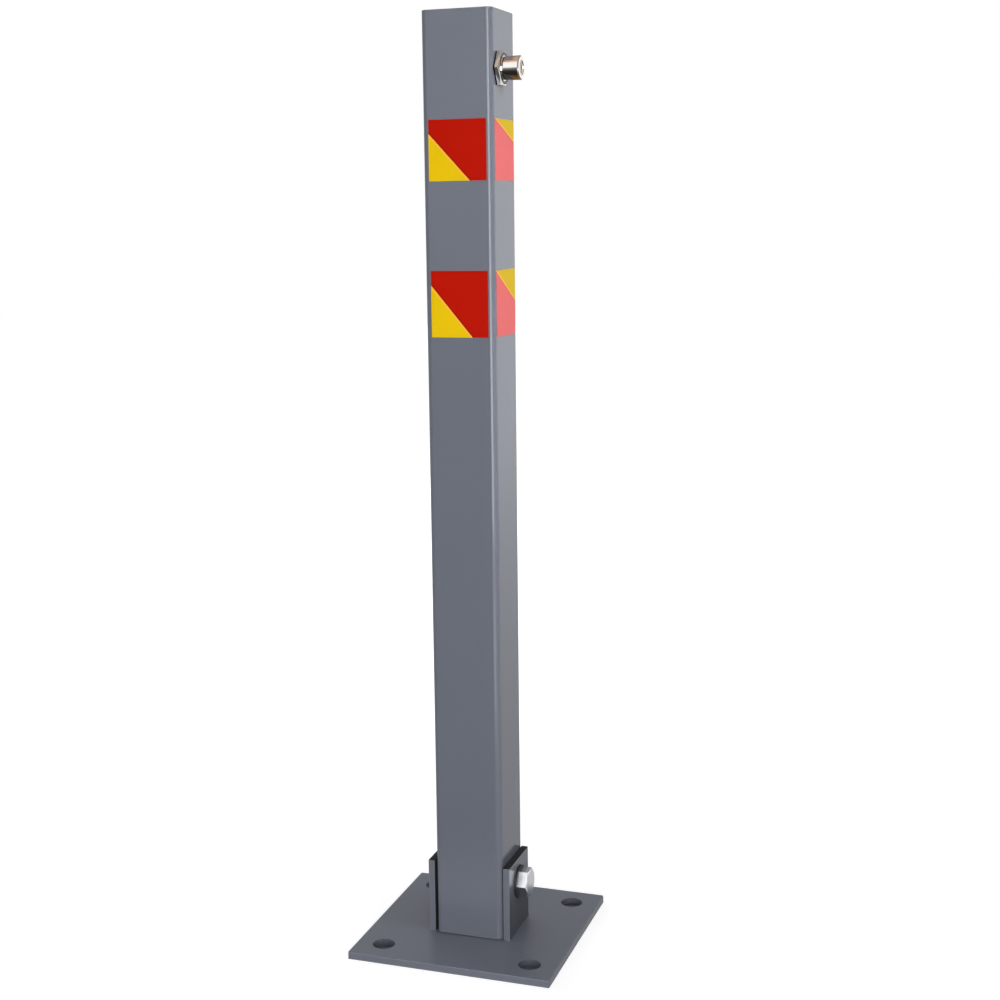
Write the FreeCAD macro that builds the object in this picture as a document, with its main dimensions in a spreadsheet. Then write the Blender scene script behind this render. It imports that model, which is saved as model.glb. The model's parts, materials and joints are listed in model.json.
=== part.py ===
import FreeCAD, Part
import math
import os
import Sketcher

# Fold-down parking bollard: a square post hinged between two ears on a base plate. A key lock near
# the post's top turns a crank, which drops a long rod into the plate and so locks the post upright.
# Millimetres, +Z up, the front faces -Y, the lock is on +X, the origin is under the plate's centre.
# The key is turned so that the rod is raised: the post is upright and free to fold back.

os.makedirs("parts", exist_ok=True)
doc = FreeCAD.newDocument("parking_bollard")
dims = doc.addObject("Spreadsheet::Sheet", "dims")

SIZES = (
    ("overall_height", "659", "ground to the top of the cap"),
    ("plate_side", "150", "side of the square base plate"),
    ("plate_thickness", "5", "base plate"),
    ("plate_corner_radius", "1.5", "corners of the base plate, seen from above"),
    ("plate_edge_radius", "0.6", "rounding of the base plate's upper edge"),
    ("hole_spacing", "110", "anchor hole to anchor hole"),
    ("hole_diameter", "16", "anchor holes"),
    ("post_width", "50", "square tube, outside"),
    ("post_wall", "2", "square tube's wall"),
    ("post_corner_radius", "4", "square tube's outer corners"),
    ("foot_gap", "0.8", "tube's foot above the plate"),
    ("cap_thickness", "3", "plate that closes the tube"),
    ("cap_edge_radius", "0.8", "rounding of the cap's upper edge"),
    ("left_ear_gap", "1.6", "tube's side to the left hinge ear"),
    ("right_ear_gap", "0.4", "tube's side to the right hinge ear, which the post leans on"),
    ("ear_thickness", "5", "hinge ear"),
    ("ear_depth", "46", "hinge ear, front to back"),
    ("ear_height", "54.5", "hinge ear above the plate"),
    ("ear_edge_radius", "0.5", "rounding of the ear's upper and upright edges"),
    ("pivot_rise", "36.5", "pivot axis above the plate"),
    ("pivot_diameter", "12", "pivot bolt's shank"),
    ("pivot_clearance", "0.05", "pivot bolt to its holes, on the radius"),
    ("bolt_flats", "19", "pivot bolt's head and nut, across flats"),
    ("bolt_head_height", "7.5", "pivot bolt's head"),
    ("pivot_nut_thickness", "4.5", "low nut on the pivot bolt"),
    ("bolt_end_overhang", "1", "pivot bolt past its nut"),
    ("bolt_end_chamfer", "1.2", "pivot bolt's end"),
    ("pivot_washer_diameter", "24", "washer under the bolt's head"),
    ("pivot_washer_thickness", "1.6", "washer under the bolt's head"),
    ("film_width", "41", "reflective films, across a face"),
    ("film_thickness", "0.25", "reflective films"),
    ("upper_band_drop", "71.8", "post's top to the upper band"),
    ("upper_band_height", "40.7", "upper band"),
    ("lower_band_drop", "172.7", "post's top to the lower band"),
    ("lower_band_height", "45.2", "lower band"),
    ("lock_drop", "39", "post's top to the lock's axis"),
    ("lock_offset", "15", "lock's axis behind the post's front face"),
    ("lock_projection", "16", "lock barrel out of the tube"),
    ("barrel_base_diameter", "15", "lock barrel at its collar"),
    ("barrel_end_diameter", "16.2", "lock barrel at its end"),
    ("barrel_end_chamfer", "0.8", "lock barrel's outer edge"),
    ("collar_flats", "22", "lock's hex collar, across flats"),
    ("collar_thickness", "4", "lock's hex collar"),
    ("neck_diameter", "14", "lock's threaded neck"),
    ("neck_length", "16", "lock's threaded neck, from the tube's outside inwards"),
    ("neck_clearance", "0.1", "lock's neck to the tube's hole and the washer, on the radius"),
    ("lock_nut_flats", "19", "nut on the lock's neck, across flats"),
    ("lock_nut_thickness", "5", "nut on the lock's neck"),
    ("lock_washer_diameter", "21", "washer on the lock's neck"),
    ("lock_washer_thickness", "1", "washer on the lock's neck"),
    ("plug_diameter", "10", "turning plug"),
    ("plug_clearance", "0.05", "turning plug to its bore, on the radius"),
    ("plug_recess", "0.4", "plug's face below the barrel's end"),
    ("keyway_width", "1.9", "keyway"),
    ("keyway_height", "7.4", "keyway"),
    ("keyway_depth", "20", "keyway"),
    ("ward_width", "0.7", "side groove of the keyway"),
    ("ward_height", "1.6", "side groove of the keyway"),
    ("tail_side", "6", "plug's square tail"),
    ("cam_thickness", "3", "crank arm"),
    ("cam_play", "0.3", "lock's neck to the crank arm"),
    ("cam_radius", "8.5", "plug's axis to the crank pin"),
    ("cam_rest_angle", "45", "crank arm above level at rest, in degrees"),
    ("cam_hub_diameter", "15", "crank arm round the plug"),
    ("cam_tip_diameter", "8", "crank arm round its pin"),
    ("pin_diameter", "4", "crank pin"),
    ("pin_overhang", "1", "crank pin past the yoke"),
    ("seat_clearance", "0.05", "crank pin and screw in their holes, on the radius"),
    ("screw_diameter", "4", "crank arm's screw"),
    ("screw_length", "8", "crank arm's screw, in the plug"),
    ("screw_head_diameter", "8", "crank arm's screw"),
    ("screw_head_height", "2.4", "crank arm's screw"),
    ("screw_head_bevel", "0.8", "upper edge of the screw's head"),
    ("screw_slot_width", "1.2", "driver slot"),
    ("screw_slot_depth", "1", "driver slot"),
    ("rod_diameter", "8", "lock rod"),
    ("rod_offset", "12", "lock rod behind the post's middle"),
    ("rod_tip_chamfer", "1.5", "lock rod's lower end"),
    ("rod_clearance", "0.05", "lock rod to its guides, on the radius"),
    ("latch_depth", "4", "lock rod in the base plate when locked"),
    ("latch_clearance", "0.5", "lock rod to its hole in the plate, on the radius"),
    ("yoke_thickness", "5", "slotted head of the lock rod"),
    ("yoke_height", "16", "slotted head of the lock rod"),
    ("yoke_rim", "4", "metal in front of the yoke's slot"),
    ("yoke_gap", "0.8", "crank arm's screw to the yoke"),
    ("yoke_corner_radius", "1.5", "corners of the yoke"),
    ("slot_clearance", "0.5", "crank pin to the yoke's slot, on each side"),
    ("guide_thickness", "3", "rod guides"),
    ("guide_gap", "0.1", "rod guides to the tube's inside"),
    ("upper_guide_drop", "48", "lock's axis to the upper guide's underside"),
    ("lower_guide_rise", "25", "pivot axis to the lower guide's underside"),
)
for row, (alias, value, meaning) in enumerate(SIZES, start=1):
    dims.set("A%d" % row, meaning)
    dims.set("B%d" % row, value)
    dims.setAlias("B%d" % row, alias)
doc.recompute()

# Places and sizes that follow from the sheet
HALF_POST = "(dims.post_width / 2)"
INNER_WIDTH = "(dims.post_width - 2 * dims.post_wall)"
LEAST_RADIUS = "0.1"
INNER_RADIUS = "max(dims.post_corner_radius - dims.post_wall; %s)" % LEAST_RADIUS
FOOT_Z = "(dims.plate_thickness + dims.foot_gap)"
TUBE_LENGTH = "(dims.overall_height - dims.cap_thickness - dims.plate_thickness - dims.foot_gap)"
LEFT_EAR_OUTSIDE = "(dims.post_width / 2 + dims.left_ear_gap + dims.ear_thickness)"
RIGHT_EAR_INSIDE = "(dims.post_width / 2 + dims.right_ear_gap)"
RIGHT_EAR_OUTSIDE = "(dims.post_width / 2 + dims.right_ear_gap + dims.ear_thickness)"
PIVOT_Z = "(dims.plate_thickness + dims.pivot_rise)"
PIVOT_HOLE = "(dims.pivot_diameter + 2 * dims.pivot_clearance)"
LOCK_Y = "(dims.lock_offset - dims.post_width / 2)"
LOCK_Z = "(dims.overall_height - dims.lock_drop)"
TUBE_INSIDE = "(dims.post_width / 2 - dims.post_wall)"
CAM_FACE = "(dims.post_width / 2 - dims.neck_length - dims.cam_play)"
CRANK_ANGLE = "(dims.cam_rest_angle * 1 deg)"
ROD_TRAVEL = "(2 * dims.cam_radius * sin(%s))" % CRANK_ANGLE
ROD_FOOT_Z = "(dims.plate_thickness - dims.latch_depth + %s)" % ROD_TRAVEL
PIN_Y = "(%s + dims.cam_radius * cos(%s))" % (LOCK_Y, CRANK_ANGLE)
PIN_Z = "(dims.overall_height - dims.lock_drop + dims.cam_radius * sin(%s))" % CRANK_ANGLE
SCREW_FACE = "(%s - dims.cam_thickness - dims.screw_head_height)" % CAM_FACE
YOKE_X = "(%s - dims.yoke_gap - dims.yoke_thickness / 2)" % SCREW_FACE
YOKE_FOOT_Z = "(%s - dims.yoke_height / 2)" % PIN_Z
ROD_HOLE = "(dims.rod_diameter + 2 * dims.rod_clearance)"

# Starting shapes for the sketches' solver, which the sizes then replace
GUESS = 10.0
GUESS_REACH = 40.0

# Parts of a sketch's shapes, as its constraints number them
ROOT_INDEX = -1
START_INDEX, END_INDEX, CENTRE_INDEX = 1, 2, 3

FULL_TURN = 360
RIGHT_ANGLE = 90
PLATE_HOLES = 4
SQUARE_CORNERS = 4
HEX_SIDES = 6
HEX_STEP = FULL_TURN // HEX_SIDES

# The cone that bevels a hex: where it meets the end face and where it leaves the corners, as shares
# of the width across flats, and its slope in degrees
BEVEL_START_SHARE = 0.48
BEVEL_END_SHARE = 0.62
BEVEL_SLOPE = "30 deg"
SAME = 1e-4


def new_body(label):
    """An empty piece with its own name."""
    body = doc.addObject("PartDesign::Body", label)
    body.Label = label
    return body


def place(piece, x=None, y=None, z=None):
    """Tie a piece's place to the sheet."""
    for axis, formula in (("x", x), ("y", y), ("z", z)):
        if formula is not None:
            piece.setExpression("Placement.Base." + axis, formula)


def new_sketch(body, role, name, offset=None):
    """A sketch on one of the body's own planes, moved along its normal by offset."""
    sketch = body.newObject("Sketcher::SketchObject", name)
    plane = next(item for item in body.Origin.OriginFeatures if item.Role == role)
    sketch.AttachmentSupport = [(plane, "")]
    sketch.MapMode = "FlatFace"
    if offset is not None:
        sketch.setExpression("AttachmentOffset.Base.z", offset)
    return sketch


def dimension(sketch, constraint, formula):
    """Add a dimension to a sketch and tie it to the sheet."""
    index = sketch.addConstraint(constraint)
    name = "size_%d" % index
    sketch.renameConstraint(index, name)
    sketch.setExpression("Constraints." + name, formula)


def locate(sketch, shape, point, start, across, up):
    """Tie one point of a sketched shape to the sketch's origin."""
    for kind, value, formula in (("DistanceX", start.x, across), ("DistanceY", start.y, up)):
        constraint = Sketcher.Constraint(kind, ROOT_INDEX, START_INDEX, shape, point, value)
        dimension(sketch, constraint, formula)


def outline(sketch, corners):
    """Closed outline of straight edges; corners are pairs of formulas."""
    count = len(corners)
    turn = 2 * math.pi / count
    points = [
        FreeCAD.Vector(GUESS * math.cos(turn * step), GUESS * math.sin(turn * step), 0)
        for step in range(count)
    ]
    first = sketch.GeometryCount
    for step in range(count):
        sketch.addGeometry(Part.LineSegment(points[step], points[(step + 1) % count]))
    for step in range(count):
        ends = (first + step, END_INDEX, first + (step + 1) % count, START_INDEX)
        sketch.addConstraint(Sketcher.Constraint("Coincident", *ends))
    for step, (across, up) in enumerate(corners):
        locate(sketch, first + step, START_INDEX, points[step], across, up)


def rectangle(sketch, left, right, low, high):
    """Rectangle between four formulas."""
    outline(sketch, ((left, low), (right, low), (right, high), (left, high)))


def square(sketch, side):
    """Square about the sketch's origin."""
    half = "(%s / 2)" % side
    rectangle(sketch, "-" + half, half, "-" + half, half)


def hexagon(sketch, flats, first_corner):
    """Regular hexagon about the sketch's origin, by its width across flats."""
    corners = []
    for side in range(HEX_SIDES):
        angle = first_corner + HEX_STEP * side
        reach = "%s / sqrt(3)" % flats
        corners.append(("%s * cos(%d deg)" % (reach, angle), "%s * sin(%d deg)" % (reach, angle)))
    outline(sketch, corners)


def circle(sketch, diameter, across="0", up="0"):
    """Circle by its diameter and centre."""
    start = FreeCAD.Vector(0, 0, 0)
    shape = sketch.addGeometry(Part.Circle(start, FreeCAD.Vector(0, 0, 1), GUESS))
    locate(sketch, shape, CENTRE_INDEX, start, across, up)
    dimension(sketch, Sketcher.Constraint("Diameter", shape, 2 * GUESS), diameter)


def link(sketch, first_diameter, second_diameter, first_across, second_across, up="0"):
    """Two round ends joined by tangent edges, as on a crank arm or a slot."""
    normal = FreeCAD.Vector(0, 0, 1)
    left = FreeCAD.Vector(0, 0, 0)
    right = FreeCAD.Vector(GUESS_REACH, 0, 0)
    rise = FreeCAD.Vector(0, GUESS, 0)
    ring = Part.Circle(left, normal, GUESS)
    far_ring = Part.Circle(right, normal, GUESS)
    near = sketch.addGeometry(Part.ArcOfCircle(ring, math.pi / 2, 3 * math.pi / 2))
    low = sketch.addGeometry(Part.LineSegment(left - rise, right - rise))
    far = sketch.addGeometry(Part.ArcOfCircle(far_ring, -math.pi / 2, math.pi / 2))
    high = sketch.addGeometry(Part.LineSegment(right + rise, left + rise))
    for shape, following in ((near, low), (low, far), (far, high), (high, near)):
        sketch.addConstraint(Sketcher.Constraint("Tangent", shape, END_INDEX, following, START_INDEX))
    locate(sketch, near, CENTRE_INDEX, left, first_across, up)
    locate(sketch, far, CENTRE_INDEX, right, second_across, up)
    dimension(sketch, Sketcher.Constraint("Radius", near, GUESS), "(%s / 2)" % first_diameter)
    dimension(sketch, Sketcher.Constraint("Radius", far, GUESS), "(%s / 2)" % second_diameter)


def pad(body, sketch, name, length, reverse=False):
    """Raise a sketch into a solid."""
    feature = body.newObject("PartDesign::Pad", name)
    feature.Profile = sketch
    feature.Reversed = reverse
    feature.setExpression("Length", length)
    return feature


def pocket(body, sketch, name, length=None, reverse=False, symmetric=False):
    """Cut a sketch out of the body, right through it where no length is given."""
    doc.recompute()
    before = body.Shape.Volume
    feature = body.newObject("PartDesign::Pocket", name)
    feature.Profile = sketch
    feature.Reversed = reverse
    if symmetric:
        feature.SideType = "Symmetric"
    if length is None:
        feature.Type = "ThroughAll"
    else:
        feature.setExpression("Length", length)
    doc.recompute()
    if not body.Shape.Volume < before:
        raise RuntimeError("%s cuts nothing out of %s" % (name, body.Label))
    return feature


def turned(body, kind, sketch, name):
    """Turn a sketch a whole round about its own level axis, to add or to cut."""
    feature = body.newObject("PartDesign::" + kind, name)
    feature.Profile = sketch
    feature.ReferenceAxis = (sketch, ["H_Axis"])
    feature.Angle = FULL_TURN
    return feature


def rounding(body, base, name, radius, wanted):
    """Round the edges of the last feature that the test wants."""
    doc.recompute()
    numbered = enumerate(base.Shape.Edges, start=1)
    edges = ["Edge%d" % number for number, edge in numbered if wanted(edge)]
    feature = body.newObject("PartDesign::Fillet", name)
    feature.Base = (base, edges)
    feature.setExpression("Radius", radius)
    return feature


def upright(edge):
    """A straight edge that runs along Z."""
    start, end = edge.Vertexes[0].Point, edge.Vertexes[-1].Point
    return start.distanceToPoint(end) > 0 and math.isclose(abs(end.z - start.z), start.distanceToPoint(end))


def at_height(level):
    """Test for edges that lie at one height."""
    return lambda edge: all(math.isclose(vertex.Z, level, abs_tol=SAME) for vertex in edge.Vertexes)


def hex_chamfer(body, name, flats, face, towards):
    """Cut the cone that bevels a hex head's corners at face; towards is the sign of the outside."""
    sketch = new_sketch(body, "XY_Plane", name + "_sketch")
    inner = "(%s * %g)" % (flats, BEVEL_START_SHARE)
    outer = "(%s * %g)" % (flats, BEVEL_END_SHARE)
    run = "((%s - %s) * tan(%s))" % (outer, inner, BEVEL_SLOPE)
    sign = "-" if towards > 0 else "+"
    outline(sketch, ((face, inner), (face, outer), ("%s %s %s" % (face, sign, run), outer)))
    return turned(body, "Groove", sketch, name)


def make_base_plate():
    """Square plate with four anchor holes and the hole for the lock rod."""
    body = new_body("base_plate")
    sketch = new_sketch(body, "XY_Plane", "plate_outline")
    square(sketch, "dims.plate_side")
    plate = pad(body, sketch, "plate", "dims.plate_thickness")
    corners = rounding(body, plate, "plate_corners", "dims.plate_corner_radius", upright)
    rounding(body, corners, "plate_edge", "dims.plate_edge_radius", at_height(dims.plate_thickness))
    hole = new_sketch(body, "XY_Plane", "anchor_hole_sketch")
    circle(hole, "dims.hole_diameter", "dims.hole_spacing / 2", "dims.hole_spacing / 2")
    first_hole = pocket(body, hole, "anchor_hole", reverse=True)
    holes = body.newObject("PartDesign::PolarPattern", "anchor_holes")
    holes.Originals = [first_hole]
    holes.Axis = (hole, ["N_Axis"])
    holes.Angle = FULL_TURN
    holes.Occurrences = PLATE_HOLES
    body.Tip = holes
    latch = new_sketch(body, "XY_Plane", "latch_hole_sketch")
    circle(latch, "(dims.rod_diameter + 2 * dims.latch_clearance)", YOKE_X, "dims.rod_offset")
    pocket(body, latch, "latch_hole", reverse=True)
    return body


def make_ear(label, inner_face):
    """Hinge ear, bored for the pivot bolt, standing on the plate."""
    body = new_body(label)
    half = "(dims.ear_depth / 2)"
    sketch = new_sketch(body, "YZ_Plane", label + "_outline")
    rectangle(sketch, "-" + half, half, "0", "dims.ear_height")
    ear = pad(body, sketch, label + "_plate", "dims.ear_thickness")
    edges = rounding(body, ear, label + "_sides", "dims.ear_edge_radius", upright)
    rounding(body, edges, label + "_top", "dims.ear_edge_radius", at_height(dims.ear_height))
    bore = new_sketch(body, "YZ_Plane", label + "_bore_sketch")
    circle(bore, PIVOT_HOLE, up="dims.pivot_rise")
    pocket(body, bore, label + "_bore", reverse=True)
    place(body, x=inner_face, z="dims.plate_thickness")
    return body


def make_pivot_bolt():
    """Hex bolt along X; the head's underside lies on the body's own YZ plane."""
    body = new_body("pivot_bolt")
    head = new_sketch(body, "YZ_Plane", "bolt_head_sketch")
    hexagon(head, "dims.bolt_flats", 0)
    pad(body, head, "bolt_head", "dims.bolt_head_height")
    hex_chamfer(body, "bolt_head_chamfer", "dims.bolt_flats", "dims.bolt_head_height", 1)
    shank = new_sketch(body, "XY_Plane", "bolt_shank_sketch")
    reach = "(%s + %s + dims.pivot_washer_thickness" % (LEFT_EAR_OUTSIDE, RIGHT_EAR_OUTSIDE)
    end = reach + " + dims.pivot_nut_thickness + dims.bolt_end_overhang)"
    radius = "(dims.pivot_diameter / 2)"
    profile = (
        ("0", "0"),
        ("-" + end, "0"),
        ("-" + end, radius + " - dims.bolt_end_chamfer"),
        ("-%s + dims.bolt_end_chamfer" % end, radius),
        ("0", radius),
    )
    outline(shank, profile)
    turned(body, "Revolution", shank, "bolt_shank")
    place(body, x=RIGHT_EAR_OUTSIDE + " + dims.pivot_washer_thickness", z=PIVOT_Z)
    return body


def make_washer(label, outer, inner, thickness):
    """Flat ring along X from the body's own YZ plane."""
    body = new_body(label)
    sketch = new_sketch(body, "YZ_Plane", label + "_sketch")
    circle(sketch, outer)
    circle(sketch, inner)
    pad(body, sketch, label + "_ring", thickness)
    return body


def make_nut(label, flats, bore, thickness):
    """Hex nut along X, bevelled on both faces, from the body's own YZ plane."""
    body = new_body(label)
    sketch = new_sketch(body, "YZ_Plane", label + "_sketch")
    hexagon(sketch, flats, HEX_STEP // 2)
    circle(sketch, bore)
    pad(body, sketch, label + "_hex", thickness)
    hex_chamfer(body, label + "_inner_chamfer", flats, "0", -1)
    hex_chamfer(body, label + "_outer_chamfer", flats, thickness, 1)
    return body


def make_pivot_washer():
    """Thin washer between the bolt's head and the right ear."""
    thickness = "dims.pivot_washer_thickness"
    body = make_washer("pivot_washer", "dims.pivot_washer_diameter", PIVOT_HOLE, thickness)
    place(body, x=RIGHT_EAR_OUTSIDE, z=PIVOT_Z)
    return body


def make_pivot_nut():
    """Low nut on the pivot bolt, outside the left ear."""
    body = make_nut("pivot_nut", "dims.bolt_flats", PIVOT_HOLE, "dims.pivot_nut_thickness")
    place(body, x="-%s - dims.pivot_nut_thickness" % LEFT_EAR_OUTSIDE, z=PIVOT_Z)
    return body


def cut_foot(body):
    """Round the tube's foot about the pivot at the back, so that the post can fold back."""
    sketch = new_sketch(body, "YZ_Plane", "foot_round_sketch")
    middle = FreeCAD.Vector(0, 2 * GUESS, 0)
    ring = Part.Circle(middle, FreeCAD.Vector(0, 0, 1), GUESS)
    arc = sketch.addGeometry(Part.ArcOfCircle(ring, -math.pi / 2, 0))
    back_top = FreeCAD.Vector(GUESS, 2 * GUESS, 0)
    back_low = FreeCAD.Vector(GUESS, 0, 0)
    low = FreeCAD.Vector(0, 0, 0)
    front = FreeCAD.Vector(0, GUESS, 0)
    back_edge = sketch.addGeometry(Part.LineSegment(back_top, back_low))
    low_edge = sketch.addGeometry(Part.LineSegment(back_low, low))
    front_edge = sketch.addGeometry(Part.LineSegment(low, front))
    joined = ((arc, back_edge), (back_edge, low_edge), (low_edge, front_edge), (front_edge, arc))
    for shape, following in joined:
        sketch.addConstraint(Sketcher.Constraint("Coincident", shape, END_INDEX, following, START_INDEX))
    sketch.addConstraint(Sketcher.Constraint("Vertical", back_edge))
    sketch.addConstraint(Sketcher.Constraint("Horizontal", low_edge))
    sketch.addConstraint(Sketcher.Constraint("Vertical", front_edge))
    sketch.addConstraint(Sketcher.Constraint("Horizontal", arc, CENTRE_INDEX, arc, END_INDEX))
    sketch.addConstraint(Sketcher.Constraint("Vertical", arc, CENTRE_INDEX, arc, START_INDEX))
    rise = "(dims.pivot_rise - dims.foot_gap)"
    locate(sketch, arc, CENTRE_INDEX, middle, "0", rise)
    dimension(sketch, Sketcher.Constraint("Radius", arc, GUESS), rise)
    below = Sketcher.Constraint("DistanceY", ROOT_INDEX, START_INDEX, back_edge, END_INDEX, 0)
    dimension(sketch, below, "-dims.post_width / 2")
    pocket(body, sketch, "foot_round", "2 * dims.post_width", symmetric=True)


def make_post_tube():
    """Square tube with rounded corners, bored for the pivot and the lock, from the foot upwards."""
    body = new_body("post_tube")
    outside = new_sketch(body, "XY_Plane", "tube_outside")
    square(outside, "dims.post_width")
    block = pad(body, outside, "tube_block", TUBE_LENGTH)
    rounding(body, block, "tube_corners", "dims.post_corner_radius", upright)
    inside = new_sketch(body, "XY_Plane", "tube_inside")
    square(inside, INNER_WIDTH)
    hollow = pocket(body, inside, "tube_hollow", reverse=True)
    inner_reach = (dims.post_width / 2 - dims.post_wall) * math.sqrt(2)

    def inner_corner(edge):
        """An upright edge at a corner of the hollow."""
        point = edge.Vertexes[0].Point
        return upright(edge) and math.isclose(math.hypot(point.x, point.y), inner_reach, abs_tol=SAME)

    rounding(body, hollow, "tube_inner_corners", INNER_RADIUS, inner_corner)
    cut_foot(body)
    pivot = new_sketch(body, "YZ_Plane", "tube_pivot_sketch")
    circle(pivot, PIVOT_HOLE, up="dims.pivot_rise - dims.foot_gap")
    pocket(body, pivot, "tube_pivot_bore", "2 * dims.post_width", symmetric=True)
    lock = new_sketch(body, "YZ_Plane", "tube_lock_sketch")
    circle(lock, "(dims.neck_diameter + 2 * dims.neck_clearance)", LOCK_Y, "%s - %s" % (LOCK_Z, FOOT_Z))
    pocket(body, lock, "tube_lock_hole", "dims.post_width", reverse=True)
    place(body, z=FOOT_Z)
    return body


def make_top_cap():
    """Plate welded flush on the tube's top, with a rounded upper edge."""
    body = new_body("top_cap")
    sketch = new_sketch(body, "XY_Plane", "cap_outline")
    square(sketch, "dims.post_width")
    plate = pad(body, sketch, "cap_plate", "dims.cap_thickness")
    corners = rounding(body, plate, "cap_corners", "dims.post_corner_radius", upright)
    rounding(body, corners, "cap_edge", "dims.cap_edge_radius", at_height(dims.cap_thickness))
    place(body, z="dims.overall_height - dims.cap_thickness")
    return body


def make_film(band, face):
    """Thin reflective film on the flat of one face of the post."""
    film = doc.addObject("Part::Box", "%s_film_%s" % (band, face))
    film.Label = film.Name
    across, through = ("Length", "Width") if face in ("front", "back") else ("Width", "Length")
    film.setExpression(across, "dims.film_width")
    film.setExpression(through, "dims.film_thickness")
    film.setExpression("Height", "dims.%s_band_height" % band)
    edge = "-dims.film_width / 2"
    behind = HALF_POST
    ahead = "-%s - dims.film_thickness" % HALF_POST
    places = {"front": (edge, ahead), "back": (edge, behind), "left": (ahead, edge), "right": (behind, edge)}
    level = "dims.overall_height - dims.%s_band_drop - dims.%s_band_height" % (band, band)
    place(film, places[face][0], places[face][1], level)
    return film


def make_lock_body():
    """Lock barrel: flared outer end, hex collar on the tube's face and a threaded neck inwards."""
    body = new_body("lock_body")
    bore = "(dims.plug_diameter / 2 + dims.plug_clearance)"
    neck = "(dims.neck_diameter / 2)"
    tip = "(dims.barrel_end_diameter / 2)"
    profile = (
        ("-dims.neck_length", bore),
        ("-dims.neck_length", neck),
        ("0", neck),
        ("0", "dims.barrel_base_diameter / 2"),
        ("dims.lock_projection - dims.barrel_end_chamfer", tip),
        ("dims.lock_projection", tip + " - dims.barrel_end_chamfer"),
        ("dims.lock_projection", bore),
    )
    barrel = new_sketch(body, "XY_Plane", "barrel_profile")
    outline(barrel, profile)
    turned(body, "Revolution", barrel, "barrel")
    collar = new_sketch(body, "YZ_Plane", "collar_sketch")
    hexagon(collar, "dims.collar_flats", 0)
    circle(collar, "dims.neck_diameter")
    pad(body, collar, "collar", "dims.collar_thickness")
    hex_chamfer(body, "collar_chamfer", "dims.collar_flats", "dims.collar_thickness", 1)
    place(body, HALF_POST, LOCK_Y, LOCK_Z)
    return body


def make_lock_washer():
    """Washer on the lock's neck, against the tube's inside."""
    bore = "(dims.neck_diameter + 2 * dims.neck_clearance)"
    body = make_washer("lock_washer", "dims.lock_washer_diameter", bore, "dims.lock_washer_thickness")
    place(body, TUBE_INSIDE + " - dims.lock_washer_thickness", LOCK_Y, LOCK_Z)
    return body


def make_lock_nut():
    """Nut on the lock's neck, against its washer."""
    bore = "(dims.neck_diameter + 2 * dims.neck_clearance)"
    body = make_nut("lock_nut", "dims.lock_nut_flats", bore, "dims.lock_nut_thickness")
    inwards = TUBE_INSIDE + " - dims.lock_washer_thickness - dims.lock_nut_thickness"
    place(body, inwards, LOCK_Y, LOCK_Z)
    return body


def make_key_plug():
    """Turning plug along X: keyway in its outer face, square tail inwards with a tapped hole."""
    body = new_body("key_plug")
    length = "(dims.lock_projection - dims.plug_recess + dims.neck_length + dims.cam_play)"
    barrel = new_sketch(body, "YZ_Plane", "plug_sketch")
    circle(barrel, "dims.plug_diameter")
    pad(body, barrel, "plug", length)
    half = "(dims.keyway_width / 2)"
    groove = "(dims.keyway_width / 2 + dims.ward_width)"
    high = "(dims.keyway_height / 2)"
    step = "(dims.ward_height / 2)"
    profile = (
        ("-" + half, "-" + high),
        (half, "-" + high),
        (half, "-" + step),
        (groove, "-" + step),
        (groove, step),
        (half, step),
        (half, high),
        ("-" + half, high),
    )
    keyway = new_sketch(body, "YZ_Plane", "keyway_sketch", length)
    outline(keyway, profile)
    pocket(body, keyway, "keyway", "dims.keyway_depth")
    tail = new_sketch(body, "YZ_Plane", "tail_sketch")
    square(tail, "dims.tail_side")
    pad(body, tail, "tail", "dims.cam_thickness", reverse=True)
    hole = new_sketch(body, "YZ_Plane", "screw_hole_sketch", "-dims.cam_thickness")
    circle(hole, "(dims.screw_diameter + 2 * dims.seat_clearance)")
    pocket(body, hole, "screw_hole", "dims.screw_length + dims.seat_clearance", reverse=True)
    place(body, CAM_FACE, LOCK_Y, LOCK_Z)
    return body


def make_cam_arm():
    """Crank arm on the plug's tail, drawn level and turned up to its rest angle."""
    body = new_body("cam_arm")
    arm = new_sketch(body, "YZ_Plane", "arm_outline")
    link(arm, "dims.cam_hub_diameter", "dims.cam_tip_diameter", "0", "dims.cam_radius")
    pad(body, arm, "arm", "dims.cam_thickness", reverse=True)
    tail = new_sketch(body, "YZ_Plane", "arm_square_sketch")
    reach = "dims.tail_side / sqrt(2)"
    corners = []
    for corner in range(SQUARE_CORNERS):
        angle = "(%g deg - %s)" % (RIGHT_ANGLE * (corner + 0.5), CRANK_ANGLE)
        corners.append(("%s * cos%s" % (reach, angle), "%s * sin%s" % (reach, angle)))
    outline(tail, corners)
    pocket(body, tail, "arm_square")
    pin = new_sketch(body, "YZ_Plane", "arm_pin_sketch")
    circle(pin, "(dims.pin_diameter + 2 * dims.seat_clearance)", "dims.cam_radius")
    pocket(body, pin, "arm_pin_hole")
    body.Placement.Rotation = FreeCAD.Rotation(FreeCAD.Vector(1, 0, 0), dims.cam_rest_angle)
    body.setExpression("Placement.Rotation.Angle", CRANK_ANGLE)
    place(body, CAM_FACE, LOCK_Y, LOCK_Z)
    return body


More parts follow.
